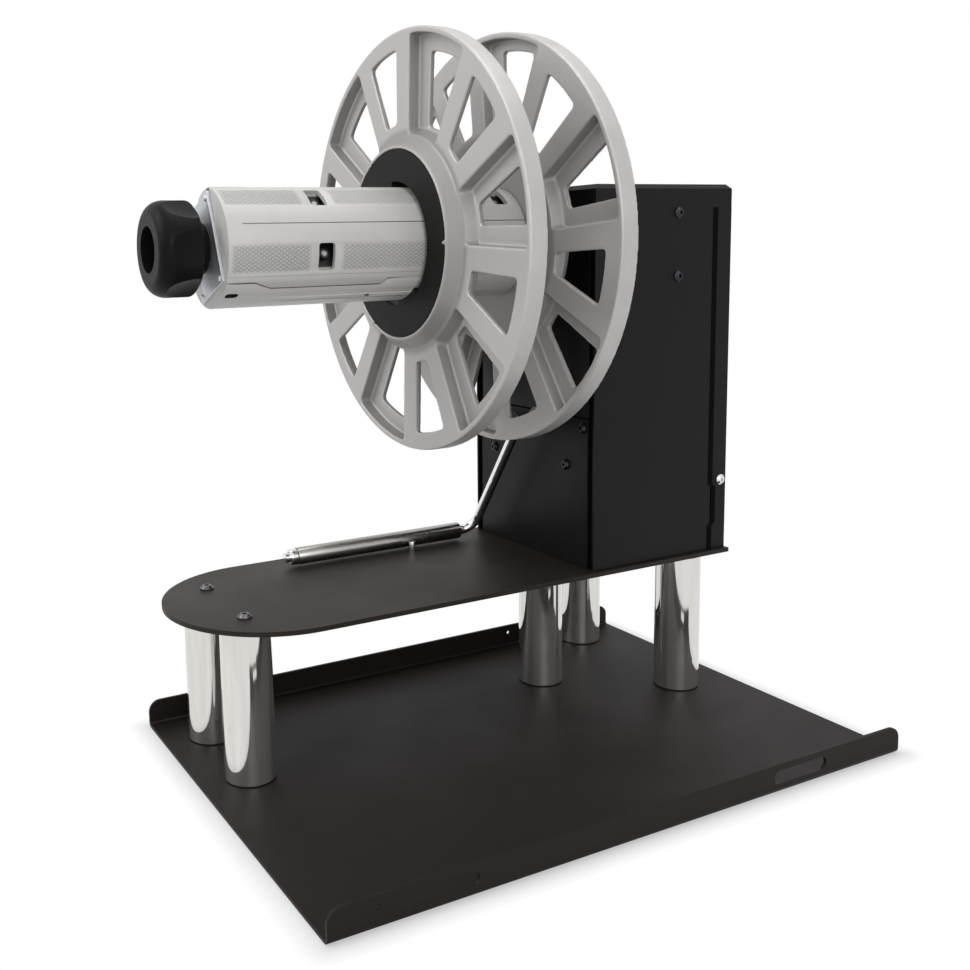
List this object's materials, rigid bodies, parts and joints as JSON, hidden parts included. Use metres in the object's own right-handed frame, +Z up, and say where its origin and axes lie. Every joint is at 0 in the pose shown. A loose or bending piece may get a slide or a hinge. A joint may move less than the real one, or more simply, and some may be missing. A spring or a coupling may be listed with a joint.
{
  "type": "label unwinder",
  "caption": "Bench-top unwinder for rolls of labels: expanding core holder with spoked flanges on a motor-driven spindle, a dancer arm with guide roller and a raised deck on a sheet-metal tray.",
  "frame": {"origin": "tray underside, straight below the hub axis at the tower's front face", "axes": "+Z up, +X towards the tray's wide side, +Y towards the tower's back; the hub points along -Y"},
  "size_m": [0.341, 0.405, 0.4595],
  "materials": {
    "tray_powder": "fine matt powder coat",
    "tower_powder": "fine matt powder coat",
    "panel_black": "satin",
    "pillar_chrome": "polished",
    "rod_chrome": "polished",
    "black_screws": "black oxide",
    "bright_steel": "bright",
    "bracket_steel": "plain",
    "belt_rubber": "matt",
    "board_green": "matt",
    "black_plastic": "satin",
    "bearing_bronze": "plain",
    "flange_grey": "satin",
    "disc_black": "matt",
    "hub_plate_blue": "blasted",
    "hub_steel": "plain",
    "hub_grey": "matt",
    "knob_black": "satin"
  },
  "bodies": {
    "frame": {"base_tray": "tray_powder", "tray_screws": "black_screws", "pillar_front_left": "pillar_chrome", "pillar_front_right": "pillar_chrome", "pillar_middle": "pillar_chrome", "pillar_rear_left": "pillar_chrome", "pillar_rear_right": "pillar_chrome", "deck_plate": "tray_powder", "deck_screws": "black_screws", "housing": "tower_powder", "foot_screws": "black_screws", "front_panel": "panel_black", "front_cover": "tower_powder", "front_cover_screws": "black_screws", "top_cap": "tower_powder", "rear_cover": "tower_powder", "rear_cover_screws": "bright_steel", "side_screws": "black_screws", "bearing_bridge": "bracket_steel", "bearing_housing": "bracket_steel", "front_bearing": "bright_steel", "rear_bearing": "bright_steel", "drive_belt": "belt_rubber", "gear_motor": "bracket_steel", "control_board": "board_green", "power_inlet": "black_plastic", "switch_body": "black_plastic", "arm_bush": "bearing_bronze", "arm_sensor": "black_plastic", "stop_pin": "bright_steel"},
    "hub": {"spindle": "bright_steel", "spindle_pulley": "bright_steel", "inner_flange": "flange_grey", "inner_flange_disc": "disc_black", "flange_screws": "black_screws", "hub_rear_plate": "hub_plate_blue", "hub_frame": "hub_steel", "hub_front_plate": "hub_plate_blue", "plate_rivets": "hub_plate_blue", "hub_cover_upper": "hub_grey", "hub_cover_lower": "hub_grey", "cover_screws": "black_screws", "guide_screws": "bright_steel"},
    "jaw_right": {"hub_jaw_right": "hub_grey"},
    "jaw_left": {"hub_jaw_left": "hub_grey"},
    "draw_bar": {"wedge_bar": "hub_steel", "draw_screw": "bright_steel"},
    "clamp_knob": {"knob": "knob_black", "knob_nut": "bearing_bronze"},
    "front_flange": {"outer_flange": "flange_grey", "outer_flange_disc": "disc_black", "outer_flange_pads": "disc_black"},
    "motor_rotor": {"motor_pulley": "bright_steel"},
    "rocker": {"switch_rocker": "black_plastic"},
    "arm": {"arm_shaft": "bright_steel", "dancer_arm": "rod_chrome", "roller_collar": "rod_chrome"},
    "roller": {"guide_roller": "rod_chrome", "roller_bushes": "black_plastic"}
  },
  "joints": [
    {"name": "spindle_spin", "type": "hinge", "parent": "frame", "child": "hub", "pos_m": [0, -0.03, 0.3235], "axis": [0, 1, 0], "continuous": true},
    {"name": "motor_spin", "type": "hinge", "parent": "frame", "child": "motor_rotor", "pos_m": [0, 0.04, 0.2485], "axis": [0, 1, 0], "continuous": true},
    {"name": "knob_turn", "type": "hinge", "parent": "hub", "child": "clamp_knob", "pos_m": [0, -0.24, 0.3235], "axis": [0, 1, 0], "range_deg": [0, 360]},
    {"name": "draw_bar_slide", "type": "slide", "parent": "hub", "child": "draw_bar", "axis": [0, -1, 0], "range_m": [0, 0.006]},
    {"name": "jaw_right_slide", "type": "slide", "parent": "hub", "child": "jaw_right", "axis": [0.9272, 0, 0.3746], "range_m": [0, 0.0024]},
    {"name": "jaw_left_slide", "type": "slide", "parent": "hub", "child": "jaw_left", "axis": [-0.9272, 0, -0.3746], "range_m": [0, 0.0024]},
    {"name": "front_flange_slide", "type": "slide", "parent": "hub", "child": "front_flange", "axis": [0, -1, 0], "range_m": [-0.042, 0.125]},
    {"name": "arm_swing", "type": "hinge", "parent": "frame", "child": "arm", "pos_m": [0.009, -0.017, 0.198], "axis": [0, 1, 0], "range_deg": [0, 65]},
    {"name": "roller_spin", "type": "hinge", "parent": "arm", "child": "roller", "pos_m": [-0.05, -0.0975, 0.11], "axis": [0, 1, 0], "continuous": true},
    {"name": "power_rocker", "type": "hinge", "parent": "frame", "child": "rocker", "pos_m": [0.048, 0.1183, 0.128], "axis": [1, 0, 0], "range_deg": [0, 16]}
  ],
  "couplings": [
    {"joint": "motor_spin", "follows": "spindle_spin", "ratio": 3},
    {"joint": "knob_turn", "follows": "draw_bar_slide", "rad_per_m": 1047.2},
    {"joint": "jaw_right_slide", "follows": "draw_bar_slide", "ratio": 0.39999},
    {"joint": "jaw_left_slide", "follows": "draw_bar_slide", "ratio": 0.39999}
  ]
}
